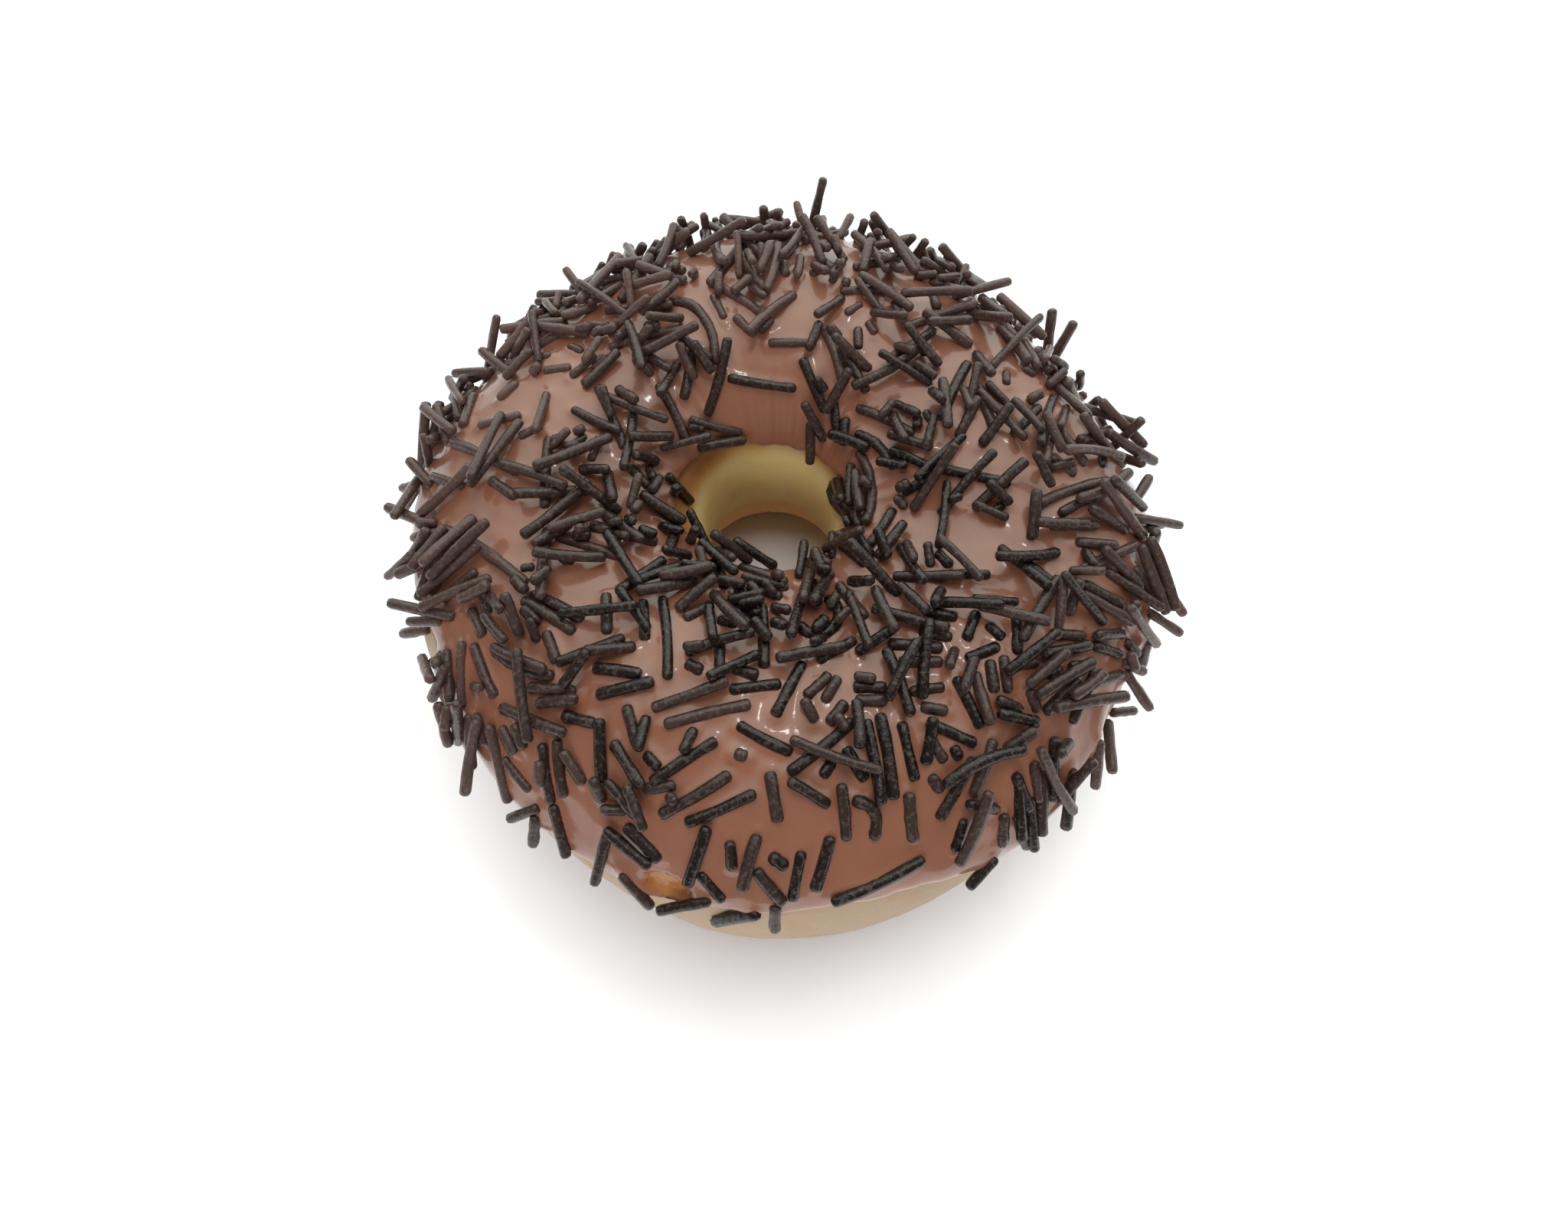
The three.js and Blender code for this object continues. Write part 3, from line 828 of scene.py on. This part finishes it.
for pixels in MIDDLE_STICKS + FRONT_STICKS + FAR_STICKS + RIGHT_STICKS + LEFT_STICKS + BACK_STICKS:
    root_pixel, tip_pixel = pixels[:2], pixels[2:]
    (root, root_on), (tip, tip_on) = through_photo(root_pixel), through_photo(tip_pixel)
    if tip_on and not root_on:
        root, root_on, tip_on, tip_pixel = tip, True, False, root_pixel
    radius = SPRINKLE_RADIUS * vary(READ_THICKNESS, next(draw))
    bend = READ_BEND * (next(draw) - 0.5)
    path = None
    if root_on and tip_on:
        place, up, _, _ = body_tree.find_nearest(Vector((root + tip) / 2))
        place, up = np.array(place), np.array(up)
        along = tip - root - up * ((tip - root) @ up)
        length = min(np.linalg.norm(along), LONGEST_READ)
        along /= np.linalg.norm(along)
        path = lie_down((place, up, along, np.cross(up, along)), length, radius, bend, TALLEST_READ)
    if path is None:
        path = reach_out(root, tip_pixel, radius)
    remember(path, radius)
root = through_photo(HANGING_STICK[:2])[0]
remember(reach_out(root, HANGING_STICK[2:], SPRINKLE_RADIUS), SPRINKLE_RADIUS)

others = []  # direction, section angle, heading and length of those that may have neighbours
for theta, phi, heading, length, tilt in sorted(first, key=lambda one: one[-1] is None):
    radius = SPRINKLE_RADIUS * vary(FIRST_THICKNESS, next(draw))
    bend = FIRST_BEND * (next(draw) - 0.5) * (1 if next(draw) < FIRST_STRAIGHT else MORE_BENT)
    if next(draw) > cover(theta, phi, EMPTY_PLACES):
        continue
    way = settle(theta, phi, heading, length, radius, bend, tilt, FIRST_TURNS)
    if way is not None and tilt is None:
        others.append((theta, phi, way, length))

draw = draws(FILL_SEED)
tries = 0
while len(laid) < ALL_SPRINKLES and tries < MOST_TRIES:
    tries += 1
    theta = (next(draw) * 2 - 1) * math.pi
    phi = across_icing(theta, LATER_ACROSS, next(draw))
    keep, grow, heading, lean, stand, curve, join = (next(draw) for _ in range(7))
    heading *= 2 * math.pi
    length = vary(LATER_LENGTHS, grow**MOSTLY_SHORT)
    standing = stand < LATER_STANDING_SHARE
    if join < IN_CLUSTERS:
        # Beside one of the others, turned a little
        theta, phi, heading, length = others[int(grow * len(others))]
        across = vary(BESIDE, lean) * (1 if curve < 0.5 else -1)
        ahead = AHEAD * (keep - 0.5)
        from_middle = way_out(theta, phi)
        theta += (ahead * math.cos(heading) - across * math.sin(heading)) / from_middle
        phi += (ahead * math.sin(heading) + across * math.cos(heading)) / SECTION_RADIUS
        heading += CLUSTER_TURN * (stand - 0.5)
        length *= vary(CLUSTER_LENGTH, lean)
        if not outer_edge(theta) < phi < hole_edge(theta):
            continue
        standing = False
    room = way_out(theta, phi) / WIDEST_RADIUS
    if next(draw) > room * cover(theta, phi, EMPTY_PLACES, FULL_PLACES):
        continue
    if room < HOLE_ROOM:
        length = min(length, LONGEST_IN_HOLE)
    radius = SPRINKLE_RADIUS * vary(LATER_THICKNESS, lean)
    bend = LATER_BEND * (curve - 0.5) * (1 if lean < LATER_STRAIGHT else MORE_BENT)
    tilt = math.radians(vary(LATER_TILT, lean)) if standing else None
    size = min(length, LONGEST_STANDING) if standing else length
    way = settle(theta, phi, heading, size, radius, bend, tilt, LATER_TURNS)
    if way is not None and join >= IN_CLUSTERS:
        others.append((theta, phi, way, length))

# The wet icing creeps up round each sprinkle that touches it
CREEP = 0.26  # mm up a sprinkle's side
CREEP_WIDTH = 0.35
stretches = [(a, b) for path in laid for a, b in zip(path[:-1], path[1:])]
closeness = kdtree.KDTree(2 * len(stretches))
for n, (a, b) in enumerate(stretches):
    closeness.insert(Vector(a), 2 * n)
    closeness.insert(Vector((a + b) / 2), 2 * n + 1)
closeness.balance()
flat_top = icing_top.reshape(-1, 3)
nearest = np.array([closeness.find(Vector(p))[2] for p in flat_top])
lift = CREEP * np.exp(-np.maximum(nearest - SPRINKLE_RADIUS, 0) / CREEP_WIDTH)
lift *= np.clip(height.reshape(-1) / ICING, 0, 1)
icing_top = (flat_top + lift[:, None] * icing_normals.reshape(-1, 3)).reshape(icing_top.shape)
icing = ring_mesh("icing_coat", np.concatenate([icing_top, icing_back], axis=1))
store(icing, "glaze_and_sheen", np.concatenate([glaze_and_sheen, np.ones(icing_back.shape[:2])], axis=1))
store(icing, "window", np.concatenate([window, np.zeros(icing_back.shape[:2])], axis=1))
icing.data.materials.append(coat)
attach(icing, "root")
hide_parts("icing")

# Dark chocolate: nearly black, waxy, with a fine grain from the die; lighter and browner where the tint
# paints a sheen on the outer ones, with lighter speckles that are partly painted glints
dark, tree = new_material("dark_chocolate_sprinkle")
grain = mottle(tree, size=0.45, detail=3)
# Lighter and browner with the tint: part random tone, part painted sheen by where a sprinkle lies
tone = blend(tree, stored(tree, "tint_and_sheen"), srgb("#120e0d"), srgb("#54403b"))
# Lighter speckles on the grain: partly the chocolate's own grain, partly painted glints
speckle_and_glints = add(tree, "ShaderNodeMapRange", {
    "Value": grain, "From Min": 0.52, "From Max": 0.68, "To Max": 0.3,
})
finish_surface(tree, {
    "Base Color": blend(tree, speckle_and_glints.outputs["Result"], tone, srgb("#6a5a52")),
    "Roughness": 0.25, "IOR": 1.45, "Normal": bump(tree, grain, strength=0.7, depth=0.15),
})

# A line of points for each sprinkle, thinner at its blunt ends
DARKEST_PLACE = (4.0, -12.0)  # those in front of the hole are painted nearly black and the outer ones lighter brown, a painted sheen and shade for how the light falls on them
SHEEN_FADE = (18, 48)  # mm from there, between which the painted sheen turns them brown
FRONT_SHARE = 0.5  # what a distance to the front counts for
# The tint is part random tone and part painted sheen, by where a sprinkle lies
TINT_BY_CHANCE, SHEEN_BY_PLACE = 0.4, 0.6
END_STEPS = (0.0, 0.13, 0.42)  # mm from an end
END_SIZES = (0.45, 0.83, 1.0)
LUMPY_SIZES = (0.9, 1.08)
POINTS_BETWEEN, CURLED_BETWEEN = 3, 13
vertices, edges, thickness, tints_and_sheen = [], [], [], []
for path, radius in zip(laid, laid_radius):
    total = lengths_along(path)[-1]
    between = POINTS_BETWEEN if len(path) == PATH_POINTS else CURLED_BETWEEN
    at = list(END_STEPS) + list(np.linspace(END_STEPS[-1], total - END_STEPS[-1], between + 2)[1:-1])
    at += [total - step for step in reversed(END_STEPS)]
    sizes = list(END_SIZES) + [vary(LUMPY_SIZES, next(draw)) for _ in range(between)]
    sizes += list(reversed(END_SIZES))
    across, back = path[len(path) // 2][:2] - DARKEST_PLACE
    from_least_sheen = math.hypot(across, back if back > 0 else FRONT_SHARE * back)
    tint_and_sheen_here = TINT_BY_CHANCE * next(draw) ** 2 + SHEEN_BY_PLACE * float(fade(from_least_sheen, *SHEEN_FADE))
    start = len(vertices)
    vertices += (points_at(path, at) * MM).tolist()
    thickness += [radius * size * MM for size in sizes]
    tints_and_sheen += [tint_and_sheen_here] * len(at)
    edges += [(start + n, start + n + 1) for n in range(len(at) - 1)]
lines = bpy.data.meshes.new("sprinkle_lines")
lines.from_pydata(vertices, edges, [])
guide = new_object("sprinkle_lines", lines)
store(guide, "thickness", thickness)
store(guide, "tint_and_sheen", tints_and_sheen)

# Each line becomes a lumpy rod of its own thickness
rods = bpy.data.node_groups.new("sprinkle_rods", "GeometryNodeTree")
for name, kind in (
    ("Geometry", "Geometry"), ("Sides", "Int"), ("Lump Size", "Float"), ("Lump Height", "Float"),
    ("Material", "Material"),
):
    rods.interface.new_socket(name, in_out="INPUT", socket_type="NodeSocket" + kind)
rods.interface.new_socket("Geometry", in_out="OUTPUT", socket_type="NodeSocketGeometry")
given = add(rods, "NodeGroupInput").outputs
spines = add(rods, "GeometryNodeMeshToCurve", {"Mesh": given["Geometry"]})
width = add(rods, "GeometryNodeInputNamedAttribute", {"Name": "thickness"}, data_type="FLOAT")
ring_profile = add(rods, "GeometryNodeCurvePrimitiveCircle", {"Resolution": given["Sides"], "Radius": 1.0})
body = add(rods, "GeometryNodeCurveToMesh", {
    "Curve": spines.outputs["Curve"], "Profile Curve": ring_profile.outputs["Curve"],
    "Scale": width.outputs["Attribute"], "Fill Caps": True,
})
where = add(rods, "GeometryNodeInputPosition").outputs["Position"]
per_lump = add(rods, "ShaderNodeMath", {0: 1.0, 1: given["Lump Size"]}, operation="DIVIDE")
lumps = add(rods, "ShaderNodeTexNoise", {"Vector": where, "Scale": per_lump.outputs[0], "Detail": 1})
centred = add(rods, "ShaderNodeMath", {0: lumps.outputs["Fac"], 1: 0.5}, operation="SUBTRACT")
lump_inputs = {0: centred.outputs[0], 1: given["Lump Height"]}
high_lump = add(rods, "ShaderNodeMath", lump_inputs, operation="MULTIPLY")
out_way = add(rods, "GeometryNodeInputNormal").outputs["Normal"]
shift_inputs = {0: out_way, "Scale": high_lump.outputs[0]}
shift = add(rods, "ShaderNodeVectorMath", shift_inputs, operation="SCALE")
lumpy = add(rods, "GeometryNodeSetPosition", {
    "Geometry": body.outputs["Mesh"], "Offset": shift.outputs["Vector"],
})
smooth = add(rods, "GeometryNodeSetShadeSmooth", {0: lumpy.outputs["Geometry"]})
painted = add(rods, "GeometryNodeSetMaterial", {
    "Geometry": smooth.outputs[0], "Material": given["Material"],
})
add(rods, "NodeGroupOutput", {"Geometry": painted.outputs["Geometry"]})

modifier = guide.modifiers.new("rods", "NODES")
modifier.node_group = rods
settings = {"Sides": 7, "Lump Size": 1.1 * MM, "Lump Height": 0.16 * MM, "Material": dark}
for socket in rods.interface.items_tree:
    if socket.name in settings:
        modifier[socket.identifier] = settings[socket.name]
evaluated = guide.evaluated_get(bpy.context.evaluated_depsgraph_get())
made = bpy.data.meshes.new_from_object(evaluated)
made.name = "sprinkles"
bpy.data.objects.remove(guide)
sprinkles = new_object("sprinkles", made)
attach(sprinkles, "root")
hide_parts("icing")


# Floor, light and camera
# A white table top under a large soft light nearly overhead, seen close up from 62 degrees above.
FLOOR_HALF = 3.0  # metres
corners = [Vector(way) * FLOOR_HALF for way in ((-1, -1, 0), (1, -1, 0), (1, 1, 0), (-1, 1, 0))]
floor_mesh = bpy.data.meshes.new("floor")
floor_mesh.from_pydata(corners, [], [(0, 1, 2, 3)])
floor = new_object("floor", floor_mesh)
paint, tree = new_material("matt_white_table")
finish_surface(tree, {"Base Color": srgb("#f2f3f7"), "Roughness": 0.7})
floor_mesh.materials.append(paint)

# The studio's far wall and ceiling are lit, and shine in the icing; the near side is dimmer
WALL_WAY = Vector((0.1, 0.8, 0.6)).normalized()
world = bpy.data.worlds.new("studio")
world.use_nodes = True
room = world.node_tree
looking = add(room, "ShaderNodeTexCoord").outputs["Generated"]
towards = add(room, "ShaderNodeVectorMath", {0: looking, 1: WALL_WAY}, operation="DOT_PRODUCT")
wall = add(room, "ShaderNodeMapRange", {
    "Value": towards.outputs["Value"], "From Min": 0.35, "From Max": 0.95, "To Min": 0.16, "To Max": 2.1,
})
room.nodes["Background"].inputs["Color"].default_value = srgb("#fbfff5")
room.links.new(wall.outputs["Result"], room.nodes["Background"].inputs["Strength"])
bpy.context.scene.world = world


def add_softbox(name, way, distance, size, power):
    """A square area light that shines from a direction onto the doughnut, sizes in metres."""
    light = bpy.data.lights.new(name, "AREA")
    light.shape = "SQUARE"
    light.size = size
    light.energy = power
    lamp = new_object(name, light)
    way = Vector(way).normalized()
    lamp.location = way * distance
    lamp.rotation_euler = way.to_track_quat("Z", "Y").to_euler()
    return lamp


# A small lamp overhead gives the small white highlights
add_softbox("lamp", (0.18, 0.2, 0.96), distance=0.9, size=0.06, power=0.3)
# Two large soft lights brighten the top and the near side without a highlight of their own
top_light = add_softbox("top_light", (0.0, 0.1, 1.0), distance=1.0, size=0.6, power=3.8)
top_light.visible_glossy = False
room_light = add_softbox("room_light", (-0.15, -0.85, 0.5), distance=1.0, size=0.6, power=6.8)
room_light.visible_glossy = False

FILM_WIDTH = 36.0
camera_data = bpy.data.cameras.new("camera")
camera_data.sensor_width = FILM_WIDTH
camera_data.lens = FILM_WIDTH * PHOTO_FOCAL / PHOTO_SIZE[0]
camera_data.clip_start = 0.005
camera_data.shift_x = (PHOTO_SIZE[0] / 2 - PHOTO_MIDDLE[0]) / PHOTO_SIZE[0]
camera_data.shift_y = (PHOTO_MIDDLE[1] - PHOTO_SIZE[1] / 2) / PHOTO_SIZE[0]
camera = new_object("camera", camera_data)
camera.location = CAMERA_PLACE * MM
camera.rotation_euler = Vector(CAMERA_BACK).to_track_quat("Z", "Y").to_euler()
bpy.context.scene.camera = camera
bpy.context.scene.view_settings.view_transform = "Standard"
